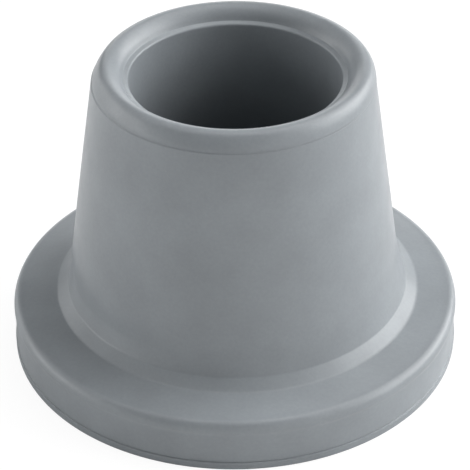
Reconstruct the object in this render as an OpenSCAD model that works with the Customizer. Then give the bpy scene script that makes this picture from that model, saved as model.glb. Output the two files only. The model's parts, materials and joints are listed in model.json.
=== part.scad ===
// Flanged rubber tip for the end of a round chair or stool leg.
// One moulding: a tapered sleeve with a deep blind socket for the tube, a
// rolled rim at its mouth, a low collar at its root, and a wide round flange
// with a ribbed sole. Its origin is the middle of the sole, with +Z up the leg.

/* [Socket] */
// Diameter of the socket, which is the outside diameter of the leg
socket_d = 25.4; // [20:0.1:30.5]
// Rubber under the end of the leg
floor_t = 8.6; // [6:0.1:16]
// Fillet between the socket's wall and its floor
floor_fillet = 1; // [0.2:0.1:3]

/* [Sleeve] */
// Height from the ground to the crest of the rim
height = 38.7; // [28:0.1:60]
// Taper of the sleeve's outside, in degrees from upright
taper = 8.2; // [3:0.1:9.5]
// Thickness of the wall just under the rim
rim_wall = 4.15; // [3.4:0.05:5.2]

/* [Rim] */
// Radius of the rim's outer shoulder
shoulder_r = 2.85; // [1.5:0.05:3.3]
// Radius of the crest
crest_r = 1.15; // [0.5:0.05:1.3]
// Slope of the dished face inside the crest, in degrees
dish_slope = 38; // [20:1:50]
// Width of the lip round the mouth
lip_w = 0.7; // [0.5:0.05:0.9]
// Step from the dished face down to the lip
lip_step = 0.5; // [0.1:0.05:0.6]
// Radius on the lip's inner edge
lip_r = 0.3; // [0.1:0.05:0.4]
// How far the sleeve stands out below the mould's parting line
parting_step = 0.05; // [0.02:0.01:0.15]

/* [Collar] */
// Height of the collar's edge above the flange
collar_h = 1.7; // [1.2:0.1:4]
// How far the collar's edge stands out from the sleeve
collar_step = 0.35; // [0.2:0.05:1.5]
// Slope of the collar's face, in degrees from upright
collar_draft = 53; // [20:1:60]
// Radius on the collar's edge
collar_edge_r = 0.5; // [0.1:0.1:1]
// Height over which the sleeve flares out to the collar's edge
flare_h = 1.7; // [0.8:0.1:4]

/* [Flange] */
// Diameter of the flange
flange_d = 56; // [53:0.5:90]
// Height of the flange's upper face above the ground
flange_t = 6.6; // [5:0.05:10]
// How much higher that face is beside the collar
flange_rise = 0.6; // [0:0.05:1]
// Radius of the bead round the flange's upper edge
bead_r = 1.15; // [0.6:0.05:1.5]
// Radius of the hollow below the bead
waist_r = 1.5; // [0.8:0.1:3]
// How far the flange's side leans in towards the bead, in degrees
side_draft = 2; // [0.5:0.1:5]

/* [Sole] */
// Height of the sole's edge band
sole_h = 0.9; // [0.5:0.05:1.5]
// How far the band stands out past the flange
sole_proud = 0.1; // [0.05:0.05:0.4]
// Depth of the crease above the band
crease = 0.12; // [0.05:0.01:0.3]
// Number of ring grooves in the sole
groove_n = 4; // [2:1:6]
// Width of a groove at the ground
groove_w = 2; // [1:0.1:2.5]
// Depth of a groove
groove_depth = 1.5; // [0.5:0.1:2.5]
// Diameter of the plain disc inside the first groove
tread_inner_d = 12; // [6:0.5:16]
// Width of the plain ring outside the last groove
tread_border = 4; // [2.5:0.1:6]

/* [Hidden] */
$fn = 144;

arc_step = 7.5;          // degrees between the points of an arc
groove_draft = 12;       // slope of a groove's sides, in degrees from upright
groove_round = 0.35;     // radius in the bottom corners of a groove
outer_slope = 47;        // slope at which the shoulder turns into the crest
parting_h = 0.12;        // height of the step at the parting line
flare_r = 8;             // radius where the flare leaves the sleeve
collar_root_r = 0.9;     // small fillet where the collar meets the flange
sole_edge_r = 0.06;      // radius on the sole's bottom edge
crease_h = 0.2;          // height of the crease
over = 1;                // how far a cutter runs past the face that it cuts

// the rim, worked inwards from the socket's wall
socket_r = socket_d / 2;
rim_r = socket_r + rim_wall;
shoulder_to = 90 - outer_slope;
crest_c = [
    rim_r - shoulder_r * (cos(taper) - cos(shoulder_to)) - crest_r * cos(shoulder_to),
    height - crest_r
];
shoulder_c = crest_c + (crest_r - shoulder_r) * [cos(shoulder_to), sin(shoulder_to)];
rim_z = shoulder_c[1] + shoulder_r * sin(taper);
dish_top = crest_c + crest_r * [-sin(dish_slope), cos(dish_slope)];
lip_outer_r = socket_r + lip_w;
dish_bottom_z = dish_top[1] - (dish_top[0] - lip_outer_r) * tan(dish_slope);
lip_z = dish_bottom_z - lip_step;

// the collar, and the flare of the sleeve above it
collar_z = flange_t + collar_h;
collar_r = sleeve_r(collar_z) + collar_step;
collar_foot_z = flange_t + flange_rise;
collar_foot_r = collar_r + (collar_z - collar_foot_z) * tan(collar_draft);
flare_z = collar_z + flare_h;
parting_z = rim_z - parting_h;

// the flange and the sole
flange_r = flange_d / 2;
sole_r = flange_r + sole_proud;
first_groove = tread_inner_d / 2 + groove_w / 2;
last_groove = sole_r - tread_border - groove_w / 2;
groove_pitch = (last_groove - first_groove) / (groove_n - 1);

// the bead, and the hollow that touches both it and the leaning side
side_foot = [flange_r, sole_h + crease_h];
bead_c = [flange_r - bead_r, flange_t - bead_r];
side_out = [cos(side_draft), sin(side_draft)];
side_up = [-sin(side_draft), cos(side_draft)];
waist_from = side_foot + waist_r * side_out - bead_c;
waist_rise = sqrt((bead_r + waist_r) ^ 2 - (waist_from * side_out) ^ 2) + waist_from * side_up;
waist_c = side_foot + waist_r * side_out - waist_rise * side_up;
waist_to = atan2(bead_c[1] - waist_c[1], bead_c[0] - waist_c[0]);

// radius of the sleeve's outside at height z
function sleeve_r(z) = rim_r + parting_step + (rim_z - z) * tan(taper);

// points of an arc about c from angle a to angle b
function arc(c, r, a, b) =
    let (n = max(2, ceil(abs(b - a) / arc_step)))
    [for (i = [0:n]) let (t = a + (b - a) * i / n) c + r * [cos(t), sin(t)]];

function unit(v) = v / norm(v);

// the corner at q, between p and s, replaced by a tangent arc of radius r;
// the arc takes up less than half of the shorter side
function blend(p, q, s, r) =
    let (
        u = unit(p - q),
        w = unit(s - q),
        half = acos(u * w) / 2,
        fit = min(r, 0.48 * min(norm(p - q), norm(s - q)) * tan(half)),
        c = q + unit(u + w) * fit / sin(half),
        from = q + u * fit / tan(half) - c,
        to = q + w * fit / tan(half) - c,
        a = atan2(from[1], from[0]),
        turn = atan2(to[1], to[0]) - a,
        b = a + (turn > 180 ? turn - 360 : turn < -180 ? turn + 360 : turn)
    )
    r > 0 ? arc(c, fit, a, b) : [q];

// an open outline from corners of [radius, height, blend radius]
function rounded(corners) = [
    for (i = [0:len(corners) - 1])
        let (
            q = corners[i],
            p = corners[max(i - 1, 0)],
            s = corners[min(i + 1, len(corners) - 1)]
        )
        each (i == 0 || i == len(corners) - 1)
            ? [[q[0], q[1]]]
            : blend([p[0], p[1]], [q[0], q[1]], [s[0], s[1]], q[2])
];

// from the middle of the sole, round its edge and over the crease
sole_side = rounded([
    [0, 0, 0],
    [sole_r, 0, sole_edge_r],
    [sole_r, sole_h, 0],
    [flange_r - crease, sole_h + crease_h / 2, 0],
    [side_foot[0], side_foot[1], 0]
]);

// up the leaning side, through the hollow and over the bead
flange_side = concat(
    arc(waist_c, waist_r, 180 + side_draft, waist_to),
    arc(bead_c, bead_r, waist_to - 180, 90)
);

// over the flange, up the collar and the sleeve to the parting line
sleeve_side = rounded([
    [bead_c[0], flange_t, 0],
    [collar_foot_r, collar_foot_z, collar_root_r],
    [collar_r, collar_z, collar_edge_r],
    [sleeve_r(flare_z), flare_z, flare_r],
    [sleeve_r(parting_z), parting_z, 0]
]);

// over the rolled rim to the dished face
rim = concat(
    arc(shoulder_c, shoulder_r, taper, shoulder_to),
    arc(crest_c, crest_r, shoulder_to, 90 + dish_slope)
);

// down the dished face, over the lip, down the socket and across its floor
socket_side = rounded([
    [dish_top[0], dish_top[1], 0],
    [lip_outer_r, dish_bottom_z, 0],
    [lip_outer_r, lip_z, lip_step / 3],
    [socket_r, lip_z, lip_r],
    [socket_r, floor_t, floor_fillet],
    [0, floor_t, 0]
]);

// one ring groove of the sole, centred on radius r
module groove(r) {
    top_w = groove_w - 2 * groove_depth * tan(groove_draft);
    rotate_extrude()
        polygon(rounded([
            [r - groove_w / 2 - over * tan(groove_draft), -over, 0],
            [r - top_w / 2, groove_depth, groove_round],
            [r + top_w / 2, groove_depth, groove_round],
            [r + groove_w / 2 + over * tan(groove_draft), -over, 0]
        ]));
}

module leg_tip() {
    color([0.52, 0.54, 0.56])
        difference() {
            rotate_extrude()
                polygon(concat(sole_side, flange_side, sleeve_side, rim, socket_side));
            for (i = [0:groove_n - 1])
                groove(first_groove + i * groove_pitch);
        }
}

leg_tip();
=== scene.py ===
import bpy, json, math
import numpy as np
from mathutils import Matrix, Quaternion, Vector


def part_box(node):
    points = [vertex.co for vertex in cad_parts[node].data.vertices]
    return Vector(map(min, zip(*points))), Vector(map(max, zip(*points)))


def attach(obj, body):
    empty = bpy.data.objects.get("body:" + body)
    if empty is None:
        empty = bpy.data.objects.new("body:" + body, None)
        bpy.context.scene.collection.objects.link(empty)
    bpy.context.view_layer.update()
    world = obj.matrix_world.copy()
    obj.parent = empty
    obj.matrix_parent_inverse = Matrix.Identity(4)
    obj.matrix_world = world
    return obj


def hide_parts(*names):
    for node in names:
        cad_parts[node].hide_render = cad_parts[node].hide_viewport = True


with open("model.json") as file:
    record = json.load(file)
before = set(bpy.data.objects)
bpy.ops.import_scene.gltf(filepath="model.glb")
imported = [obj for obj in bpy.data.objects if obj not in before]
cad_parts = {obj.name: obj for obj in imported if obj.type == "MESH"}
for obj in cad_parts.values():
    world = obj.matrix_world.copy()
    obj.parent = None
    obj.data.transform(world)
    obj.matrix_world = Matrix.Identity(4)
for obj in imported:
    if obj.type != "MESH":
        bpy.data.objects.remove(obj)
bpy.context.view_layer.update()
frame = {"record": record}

mm = 0.001
scene = bpy.context.scene


# every point of a profile is (radius, height) in millimetres

def arcPoints(centre, radius, fromDeg, toDeg, count):
    # centre + radius * (cos t, sin t), with t running evenly between the two angles
    t = np.radians(np.linspace(fromDeg, toDeg, count))
    return np.column_stack([centre[0] + radius * np.cos(t), centre[1] + radius * np.sin(t)])


def blendCorner(before, corner, after, radius, count):
    # the arc tangent to both sides of a corner: its centre lies on the bisector, radius / sin(half)
    # away, and it takes up less than half of the shorter side
    p, q, s = (np.asarray(v, float) for v in (before, corner, after))
    u = (p - q) / np.linalg.norm(p - q)
    w = (s - q) / np.linalg.norm(s - q)
    half = math.acos(float(np.clip(u @ w, -1, 1))) / 2
    reach = 0.48 * min(np.linalg.norm(p - q), np.linalg.norm(s - q))
    r = min(radius, reach * math.tan(half))
    centre = q + (u + w) / np.linalg.norm(u + w) * r / math.sin(half)
    start = q + u * r / math.tan(half) - centre
    end = q + w * r / math.tan(half) - centre
    a = math.atan2(start[1], start[0])
    turn = (math.atan2(end[1], end[0]) - a + math.pi) % (2 * math.pi) - math.pi
    return arcPoints(centre, r, math.degrees(a), math.degrees(a + turn), count)


def roundedOutline(corners, count=7):
    # an open outline from rows of (radius, height, blend radius); the two ends stay sharp
    pts = [np.array([corners[0][:2]], float)]
    for before, here, after in zip(corners[:-2], corners[1:-1], corners[2:]):
        if here[2]:
            pts.append(blendCorner(before[:2], here[:2], after[:2], here[2], count))
        else:
            pts.append(np.array([here[:2]], float))
    pts.append(np.array([corners[-1][:2]], float))
    return np.vstack(pts)


def refine(outline, longest):
    # drops repeated points, then splits each stretch into ceil(length / longest) equal steps
    step = np.linalg.norm(np.diff(outline, axis=0), axis=1)
    keep = np.concatenate([[True], step > 1e-6])
    outline = outline[keep]
    step = np.linalg.norm(np.diff(outline, axis=0), axis=1)
    parts = np.maximum(1, np.ceil(step / longest).astype(int))
    at = np.concatenate([[0], np.cumsum(parts)])
    return np.column_stack([np.interp(np.arange(at[-1] + 1), at, outline[:, k]) for k in (0, 1)])


# the sizes are the CAD part's, apart from the rim's finer form
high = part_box("leg_tip")[1]
socketMount = [m for m in frame["record"]["mounts"] if m["name"] == "leg_socket"][0]

tipShape = {
    "height": high.z / mm - 0.08,  # to the crest
    "soleR": high.x / mm,
    "socketR": socketMount["dims"]["r_mm"],
    "floorT": 8.6,
    "floorFillet": 1.0,
    "taper": 8.2,            # degrees from upright
    "rimWall": 4.15,         # under the rim
    "partingZ": 36.63,       # the rim starts here
    "shoulderTo": 40.0,      # degrees; the rolled shoulder turns into the crest here
    "crestR": 1.15,
    "crestTo": 110.0,
    "dishR": 2.5,            # the inner face grows steeper towards the lip
    "dishInner": 13.48,
    "lipTop": (13.34, 37.05),  # radius and height
    "lipEdge": (12.7, 36.84),
    "lipBlend": 0.15,
    "lipR": 0.28,
    "partingStep": 0.04,     # how far the sleeve stands out below the parting line
    "partingH": 0.1,         # the hairline groove there
    "partingDepth": 0.1,
    "partingSupport": 0.07,  # a ring just below it keeps its shading narrow
    "collarH": 1.7,
    "collarStep": 0.35,
    "collarDraft": 53.0,     # degrees from upright
    "collarRootR": 0.9,
    "collarEdgeR": 0.5,
    "flareH": 1.7,
    "flareR": 8.0,
    "flangeT": 6.6,
    "flangeRise": 0.6,       # how much higher the flange is beside the collar
    "flangeEdgeR": 1.15,
    "flangeDraft": 2.0,
    "waistR": 1.5,
    "soleH": 0.9,
    "soleProud": 0.1,
    "soleEdgeR": 0.06,
    "crease": 0.12,
    "creaseH": 0.2,
    "creaseEdgeR": 0.06,
    "creaseRootR": 0.03,
    "grooves": 4,
    "grooveW": 2.0,
    "grooveDepth": 1.5,
    "grooveDraft": 12.0,
    "grooveRound": 0.35,
    "grooveEdgeR": 0.15,
    "treadInnerR": 6.0,
    "treadBorder": 4.0,
    "soleJoin": 0.5,         # how far inside the edge the sole's outline meets the side's
    "longestStep": 0.9,
    "turns": 256,            # points round the axis
    "mouldShift": (0.22, 0.13),  # how far off the axis the mould's upper half closed
    "shiftStart": 0.4,       # the share of that at the parting line
    "shiftOver": 1.4,        # and the length of section over which it grows to all of it
    "collarShift": (0.28, 0),    # how far off the ring round the collar did
    "collarFadeZ": 13.3,     # where that has faded out
    "collarFade": 3.0,       # and over how much height below
    "waver": 0.01,           # height of the slow unevenness of the moulding
    "waves": ((2, 1.0, 0.7, 0.0), (3, 0.6, 0.0, 0.21), (5, 0.4, 0.0, -0.33)),
    "waverFrom": 2.0,        # it grows from the ground to its full height here
}


def tanOf(deg):
    # the tangent, cosine and sine of an angle in degrees
    return math.tan(math.radians(deg))


def cosOf(deg):
    return math.cos(math.radians(deg))


def sinOf(deg):
    return math.sin(math.radians(deg))


def toward(deg):
    # the unit step in a direction: (cos, sin)
    return np.array([cosOf(deg), sinOf(deg)])


def tipSection(s):
    # the half section as tangent arcs and straight lines, in two parts: from the middle of the sole
    # out and up to the parting line, then over the rim and down to the socket's floor
    rimR = s["socketR"] + s["rimWall"]
    rimZ = s["partingZ"]

    def sleeveR(z):
        # the tapered side's radius at height z
        return rimR + s["partingStep"] + (rimZ - z) * tanOf(s["taper"])

    # the shoulder leaves the tapered side at the parting line and meets the crest's arc;
    # its radius is the height between the two over the difference of their sines
    turn = s["shoulderTo"]
    crestZ = s["height"] - s["crestR"]
    shoulderR = (crestZ + s["crestR"] * sinOf(turn) - rimZ) / (sinOf(turn) - sinOf(s["taper"]))
    crestAt = rimR - shoulderR * (cosOf(s["taper"]) - cosOf(turn)) - s["crestR"] * cosOf(turn)
    crestC = np.array([crestAt, crestZ])
    shoulderC = crestC + (s["crestR"] - shoulderR) * toward(turn)
    dishC = crestC + (s["crestR"] - s["dishR"]) * toward(s["crestTo"])
    dishTo = math.degrees(math.acos((s["dishInner"] - dishC[0]) / s["dishR"]))

    collarZ = s["flangeT"] + s["collarH"]
    collarR = sleeveR(collarZ) + s["collarStep"]
    footZ = s["flangeT"] + s["flangeRise"]
    footR = collarR + (collarZ - footZ) * tanOf(s["collarDraft"])
    flareZ = collarZ + s["flareH"]
    partingZ = rimZ - s["partingH"]
    supportZ = partingZ - s["partingSupport"]

    # the flange's side leans in by its draft, and a hollow arc touches both it and the bead above,
    # so its centre is its radius from the side's line and both radii from the bead's centre
    flangeR = s["soleR"] - s["soleProud"]
    sideFoot = np.array([flangeR, s["soleH"] + s["creaseH"]])
    beadC = np.array([flangeR, s["flangeT"]]) - s["flangeEdgeR"]
    outward = toward(s["flangeDraft"])
    upward = toward(s["flangeDraft"] + 90)
    start = sideFoot + outward * s["waistR"] - beadC
    apart = s["flangeEdgeR"] + s["waistR"]
    along = -start @ upward - math.sqrt((start @ upward) ** 2 - start @ start + apart ** 2)
    waistC = beadC + start + upward * along
    toBead = math.degrees(math.atan2(*(beadC - waistC)[::-1]))

    # where a call below ends in a number, it is how many points each of its arcs has
    first = s["treadInnerR"] + s["grooveW"] / 2
    last = s["soleR"] - s["treadBorder"] - s["grooveW"] / 2
    inset = s["grooveDepth"] * tanOf(s["grooveDraft"])
    sole = [(0, 0, 0)]
    for r in np.linspace(first, last, s["grooves"]):
        a, b = r - s["grooveW"] / 2, r + s["grooveW"] / 2
        sole += [(a, 0, s["grooveEdgeR"]), (a + inset, s["grooveDepth"], s["grooveRound"]),
                 (b - inset, s["grooveDepth"], s["grooveRound"]), (b, 0, s["grooveEdgeR"])]
    sole = roundedOutline(sole + [(s["soleR"] - s["soleJoin"], 0, 0)], 4)
    side = roundedOutline([
        (s["soleR"] - s["soleJoin"], 0, 0),
        (s["soleR"], 0, s["soleEdgeR"]),
        (s["soleR"], s["soleH"], s["creaseEdgeR"]),
        (flangeR - s["crease"], s["soleH"] + s["creaseH"] / 2, s["creaseRootR"]),
        (*sideFoot, s["creaseEdgeR"]),
        (*(sideFoot + upward), 0)])
    edge = np.vstack([
        arcPoints(waistC, s["waistR"], 180 + s["flangeDraft"], toBead, 8),
        arcPoints(beadC, s["flangeEdgeR"], toBead - 180, 90, 20)])
    sleeve = roundedOutline([
        (*edge[-1], 0),
        (footR, footZ, s["collarRootR"]),
        (collarR, collarZ, s["collarEdgeR"]),
        (sleeveR(flareZ), flareZ, s["flareR"]),
        (sleeveR(supportZ), supportZ, 0),
        (sleeveR(partingZ), partingZ, 0),
        (sleeveR(partingZ) - s["partingDepth"], partingZ + s["partingH"] / 2, 0)], 9)
    rim = np.vstack([
        arcPoints(shoulderC, shoulderR, s["taper"], turn, 20),
        arcPoints(crestC, s["crestR"], turn, s["crestTo"], 12),
        arcPoints(dishC, s["dishR"], s["crestTo"], dishTo, 14)])
    socket = roundedOutline([
        (*rim[-1], 0),
        (*s["lipTop"], s["lipBlend"]),
        (*s["lipEdge"], s["lipR"]),
        (s["socketR"], s["floorT"], s["floorFillet"]),
        (0, s["floorT"], 0)])[1:]
    lower = refine(np.vstack([sole, side, edge, sleeve]), s["longestStep"])
    upper = refine(np.vstack([rim, socket]), s["longestStep"])
    return lower, upper


def carryRound(section, s, shift):
    # point (i, j) = section i turned to angle j: x = shift x + r cos a, y = shift y + r sin a, z = z
    # r wavers by the sum of share * sin(turns * a + start + twist * z), less near the ground
    a = np.linspace(0, 2 * np.pi, s["turns"], endpoint=False)
    r, z = section[:, 0][:, None], section[:, 1][:, None]
    waver = sum(share * np.sin(turns * a + start + twist * z)
                for turns, share, start, twist in s["waves"])
    r = r + s["waver"] * waver * np.clip(z / s["waverFrom"], 0, 1)
    dx, dy = shift[:, :1], shift[:, 1:]
    return np.stack([dx + r * np.cos(a), dy + r * np.sin(a), z + 0 * a], -1)


def shiftAlong(z, s):
    # the collar's ring is shifted whole; the shift fades out in straight lines, over the flange's rise
    # and up the sleeve; 0.01 mm keeps a flat flange from dividing by zero
    rise = np.clip((z - s["flangeT"]) / (s["flangeRise"] + 0.01), 0, 1)
    fall = np.clip((s["collarFadeZ"] - z) / s["collarFade"], 0, 1)
    return (rise * fall)[:, None] * np.array(s["collarShift"])


def shiftOver(section, s):
    # the upper half's shift grows over the shoulder by the smooth step 3 t^2 - 2 t^3
    way = np.concatenate([[0], np.cumsum(np.linalg.norm(np.diff(section, axis=0), axis=1))])
    t = np.clip(way / s["shiftOver"], 0, 1)
    share = s["shiftStart"] + (1 - s["shiftStart"]) * t * t * (3 - 2 * t)
    return share[:, None] * np.array(s["mouldShift"])


def gridMesh(name, grid, bottom, top):
    # ring i and ring i + 1 are joined point by point, and a point closes each end of the tube;
    # the faces run so that they point outwards
    rings, turns = grid.shape[:2]
    verts = np.vstack([grid.reshape(-1, 3), [bottom, top]]) * mm
    i = np.arange(rings - 1)[:, None] * turns
    j = np.arange(turns)[None]
    k = (j + 1) % turns
    quads = np.stack([i + j, i + k, i + turns + k, i + turns + j], -1).reshape(-1, 4)
    j, k = j[0], k[0]
    first, last = rings * turns, rings * turns + 1
    lastRing = (rings - 1) * turns
    fans = np.vstack([np.stack([np.full(turns, first), k, j], -1),
                      np.stack([np.full(turns, last), lastRing + j, lastRing + k], -1)])
    mesh = bpy.data.meshes.new(name)
    mesh.from_pydata(verts.tolist(), [], quads.tolist() + fans.tolist())
    mesh.update()
    mesh.shade_smooth()
    ob = bpy.data.objects.new(name, mesh)
    scene.collection.objects.link(ob)
    return ob


lower, upper = tipSection(tipShape)
upperShift = shiftOver(upper[:-1], tipShape)
lowerShift = shiftAlong(lower[1:, 1], tipShape)
grid = np.concatenate([carryRound(lower[1:], tipShape, lowerShift),
                       carryRound(upper[:-1], tipShape, upperShift)])
tip = gridMesh("rubberTip", grid, (0, 0, lower[0, 1]), (*tipShape["mouldShift"], upper[-1, 1]))
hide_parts("leg_tip")
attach(tip, "root")
print("tip:", len(grid), "rings,", len(tip.data.polygons), "faces")


rubberLook = {
    "colour": (0.276, 0.300, 0.320),
    "shade": 0.06,           # how much the slow clouds lighten and darken the colour
    "speck": 0.03,           # and the fine grain
    "cloudSize": 0.007,      # metres
    "grainSize": 0.0004,
    "roughness": 0.34,
    "roughSpread": 0.10,
    "wipeSize": 0.0028,      # size of the patches of duller and brighter surface
    "grainDepth": 0.000004,
    "rippleDepth": 0.00001,
    "rippleSize": 0.0035,
    "boreShadeShare": 0.45,        # the share of the colour left at the bottom of the socket by its painted shade
    "boreShadeRange": (0.014, 0.034),  # heights between which the painted shade falls to that
    "boreShadeEdge": (0.0130, 0.0132),  # radii between which the socket's painted shade ends
}


def makeRubber(v):
    # the colour is multiplied by clouds, grain and the socket's painted shade; the gloss is a noise
    # about its mean, and two faint bumps, a ripple and the grain, lie on each other
    mat = bpy.data.materials.new("greyRubber")
    mat.use_nodes = True
    nt = mat.node_tree
    bsdf = nt.nodes["Principled BSDF"]
    place = nt.nodes.new("ShaderNodeTexCoord")

    def noise(size, detail, rough):
        # a noise whose features are about the given size, with finer layers, each weaker by rough
        n = nt.nodes.new("ShaderNodeTexNoise")
        n.inputs["Scale"].default_value = 1 / size
        n.inputs["Detail"].default_value = detail
        n.inputs["Roughness"].default_value = rough
        nt.links.new(place.outputs["Object"], n.inputs["Vector"])
        return n.outputs["Fac"]

    def remap(value, low, high):
        # noise from 0.3 to 0.7 becomes low to high
        n = nt.nodes.new("ShaderNodeMapRange")
        n.inputs["From Min"].default_value, n.inputs["From Max"].default_value = 0.3, 0.7
        n.inputs["To Min"].default_value, n.inputs["To Max"].default_value = low, high
        nt.links.new(value, n.inputs["Value"])
        return n.outputs["Result"]

    def times(a, b):
        n = nt.nodes.new("ShaderNodeMath")
        n.operation = "MULTIPLY"
        nt.links.new(a, n.inputs[0])
        nt.links.new(b, n.inputs[1])
        return n.outputs[0]

    def paintedSocketShade():
        # painted shade of the socket: 1 beyond the socket's radius; within it the tone falls with
        # height, by a smooth step, to the bottom's value, which the middle of the sole has too
        apart = nt.nodes.new("ShaderNodeSeparateXYZ")
        nt.links.new(place.outputs["Object"], apart.inputs[0])
        flat = nt.nodes.new("ShaderNodeCombineXYZ")
        nt.links.new(apart.outputs["X"], flat.inputs["X"])
        nt.links.new(apart.outputs["Y"], flat.inputs["Y"])
        radius = nt.nodes.new("ShaderNodeVectorMath")
        radius.operation = "LENGTH"
        nt.links.new(flat.outputs[0], radius.inputs[0])
        fall = nt.nodes.new("ShaderNodeMapRange")
        fall.interpolation_type = "SMOOTHSTEP"
        fall.inputs["From Min"].default_value, fall.inputs["From Max"].default_value = v["boreShadeRange"]
        fall.inputs["To Min"].default_value, fall.inputs["To Max"].default_value = v["boreShadeShare"], 1
        nt.links.new(apart.outputs["Z"], fall.inputs["Value"])
        inside = nt.nodes.new("ShaderNodeMapRange")
        inside.inputs["From Min"].default_value, inside.inputs["From Max"].default_value = v["boreShadeEdge"]
        inside.inputs["To Min"].default_value, inside.inputs["To Max"].default_value = 1, 0
        nt.links.new(radius.outputs["Value"], inside.inputs["Value"])
        mix = nt.nodes.new("ShaderNodeMix")
        mix.inputs["A"].default_value = 1
        nt.links.new(inside.outputs["Result"], mix.inputs["Factor"])
        nt.links.new(fall.outputs["Result"], mix.inputs["B"])
        return mix.outputs["Result"]

    clouds = noise(v["cloudSize"], 3, 0.55)
    grain = noise(v["grainSize"], 2, 0.6)
    mottle = remap(clouds, 1 - v["shade"], 1 + v["shade"])
    # the clouds and grain are the rubber's own uneven colour; the socket's painted shade darkens it
    # deeper down
    tone = times(times(mottle, remap(grain, 1 - v["speck"], 1 + v["speck"])), paintedSocketShade())
    tint = nt.nodes.new("ShaderNodeVectorMath")
    tint.operation = "SCALE"
    tint.inputs[0].default_value = v["colour"]
    nt.links.new(tone, tint.inputs["Scale"])
    nt.links.new(tint.outputs[0], bsdf.inputs["Base Color"])

    wiped = noise(v["wipeSize"], 4, 0.6)
    half = v["roughSpread"] / 2
    nt.links.new(remap(wiped, v["roughness"] - half, v["roughness"] + half), bsdf.inputs["Roughness"])

    ripple = nt.nodes.new("ShaderNodeBump")
    ripple.inputs["Distance"].default_value = v["rippleDepth"]
    nt.links.new(noise(v["rippleSize"], 1, 0.5), ripple.inputs["Height"])
    fine = nt.nodes.new("ShaderNodeBump")
    fine.inputs["Distance"].default_value = v["grainDepth"]
    nt.links.new(grain, fine.inputs["Height"])
    nt.links.new(ripple.outputs[0], fine.inputs["Normal"])
    nt.links.new(fine.outputs[0], bsdf.inputs["Normal"])
    return mat


tip.data.materials.append(makeRubber(rubberLook))
print("rubber: grey, roughness", rubberLook["roughness"])


floorLook = {
    "size": 4.0,             # metres
    "below": 0.00003,        # how far under the sole
    "colour": (0.86, 0.86, 0.86, 1),
    "glow": 0.9,             # what the camera sees: a pale glow, and a little of the shade cast on it
    "seenShare": 0.16,
}


def makeFloor(v):
    # a flat square just under the sole: bounced light takes its plain colour, and what is seen is pale
    mesh = bpy.data.meshes.new("floor")
    h = v["size"] / 2
    low = -v["below"]
    mesh.from_pydata([(-h, -h, low), (h, -h, low), (h, h, low), (-h, h, low)], [], [(0, 1, 2, 3)])
    ob = bpy.data.objects.new("floor", mesh)
    scene.collection.objects.link(ob)
    mat = bpy.data.materials.new("paleFloor")
    mat.use_nodes = True
    nt = mat.node_tree
    nt.nodes.clear()
    out = nt.nodes.new("ShaderNodeOutputMaterial")
    seen = nt.nodes.new("ShaderNodeLightPath")
    real = nt.nodes.new("ShaderNodeBsdfDiffuse")
    real.inputs["Color"].default_value = v["colour"]
    faint = nt.nodes.new("ShaderNodeBsdfDiffuse")
    faint.inputs["Color"].default_value = (v["seenShare"],) * 3 + (1,)
    glow = nt.nodes.new("ShaderNodeEmission")
    glow.inputs["Strength"].default_value = v["glow"]
    add = nt.nodes.new("ShaderNodeAddShader")
    mix = nt.nodes.new("ShaderNodeMixShader")
    nt.links.new(faint.outputs[0], add.inputs[0])
    nt.links.new(glow.outputs[0], add.inputs[1])
    nt.links.new(seen.outputs["Is Camera Ray"], mix.inputs[0])
    nt.links.new(real.outputs[0], mix.inputs[1])
    nt.links.new(add.outputs[0], mix.inputs[2])
    nt.links.new(mix.outputs[0], out.inputs["Surface"])
    mesh.materials.append(mat)
    return ob


makeFloor(floorLook)
print("floor:", floorLook["size"], "m across")


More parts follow.
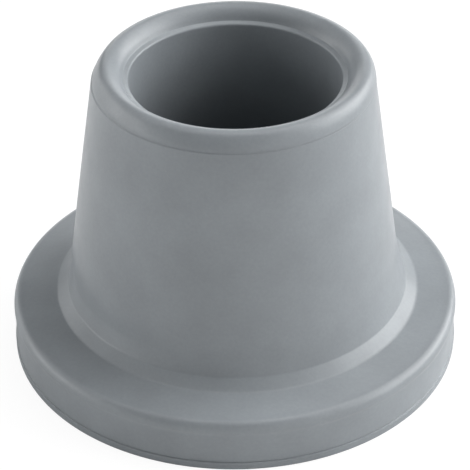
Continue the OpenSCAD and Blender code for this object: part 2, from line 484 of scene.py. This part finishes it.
studioLook = {
    # direction round the object in degrees, height above the floor in degrees, strength;
    # 0 is the camera's side, and 90 its right
    "lamps": [
        (0, 8, 0.04),
        (30, 8, 0.09),
        (90, 8, 0.145),
        (120, 8, 0.36),
        (180, 8, 0.19),
        (240, 8, 0.145),
        (270, 8, 0.28),
        (300, 8, 0.075),
        (60, 30, 0.09),
        (90, 30, 0.37),
        (120, 30, 0.32),
        (240, 30, 0.09),
        (90, 55, 0.1),
        (135, 55, 0.15),
        (270, 55, 0.055),
        (135, 78, 0.105),
        (225, 78, 0.075),
    ],
    "overall": 1.02,         # every strength is multiplied by this
    "softness": 40,          # degrees that each lamp spans
    "world": 0.0,            # the lamps give all the light
}


def makeLamps(v):
    # a lamp stands towards (sin a cos h, -cos a cos h, sin h)
    for i, (around, up, strength) in enumerate(v["lamps"]):
        a, h = math.radians(around), math.radians(up)
        data = bpy.data.lights.new("softLamp%d" % i, "SUN")
        data.energy = math.pi * strength * v["overall"]
        data.angle = math.radians(v["softness"])
        lamp = bpy.data.objects.new("softLamp%d" % i, data)
        scene.collection.objects.link(lamp)
        toLamp = Vector((math.sin(a) * math.cos(h), -math.cos(a) * math.cos(h), math.sin(h)))
        lamp.rotation_mode = "QUATERNION"
        lamp.rotation_quaternion = toLamp.to_track_quat("Z", "Y")


makeLamps(studioLook)
world = bpy.data.worlds.new("studio")
scene.world = world
world.use_nodes = True
sky = world.node_tree.nodes["Background"]
sky.inputs["Color"].default_value = (1, 1, 1, 1)
sky.inputs["Strength"].default_value = studioLook["world"]
print("lamps:", len(studioLook["lamps"]))


cameraView = {
    "aimHeight": 14.02,      # mm; where the view's middle passes the axis
    "sideways": 0.064,
    "distance": 243.73,
    "elevation": 34.665,     # degrees
    "roll": -0.379,
    "lens": 149.3,
    "sensor": 36.0,
}


def makeCamera(v):
    # it stands at the given distance along (0, -cos e, sin e) from the aimed height
    e = math.radians(v["elevation"])
    data = bpy.data.cameras.new("camera")
    data.sensor_width = v["sensor"]
    data.lens = v["lens"]
    data.clip_start, data.clip_end = 0.01, 20
    cam = bpy.data.objects.new("camera", data)
    scene.collection.objects.link(cam)
    back = v["distance"] * math.cos(e)
    up = v["aimHeight"] + v["distance"] * math.sin(e)
    cam.location = (v["sideways"] * mm, -back * mm, up * mm)
    tilt = Quaternion((1, 0, 0), math.pi / 2 - e)
    cam.rotation_mode = "QUATERNION"
    cam.rotation_quaternion = tilt @ Quaternion((0, 0, 1), math.radians(v["roll"]))
    scene.camera = cam


makeCamera(cameraView)
print("camera:", cameraView["distance"], "mm away")
scene.view_settings.view_transform = "Standard"
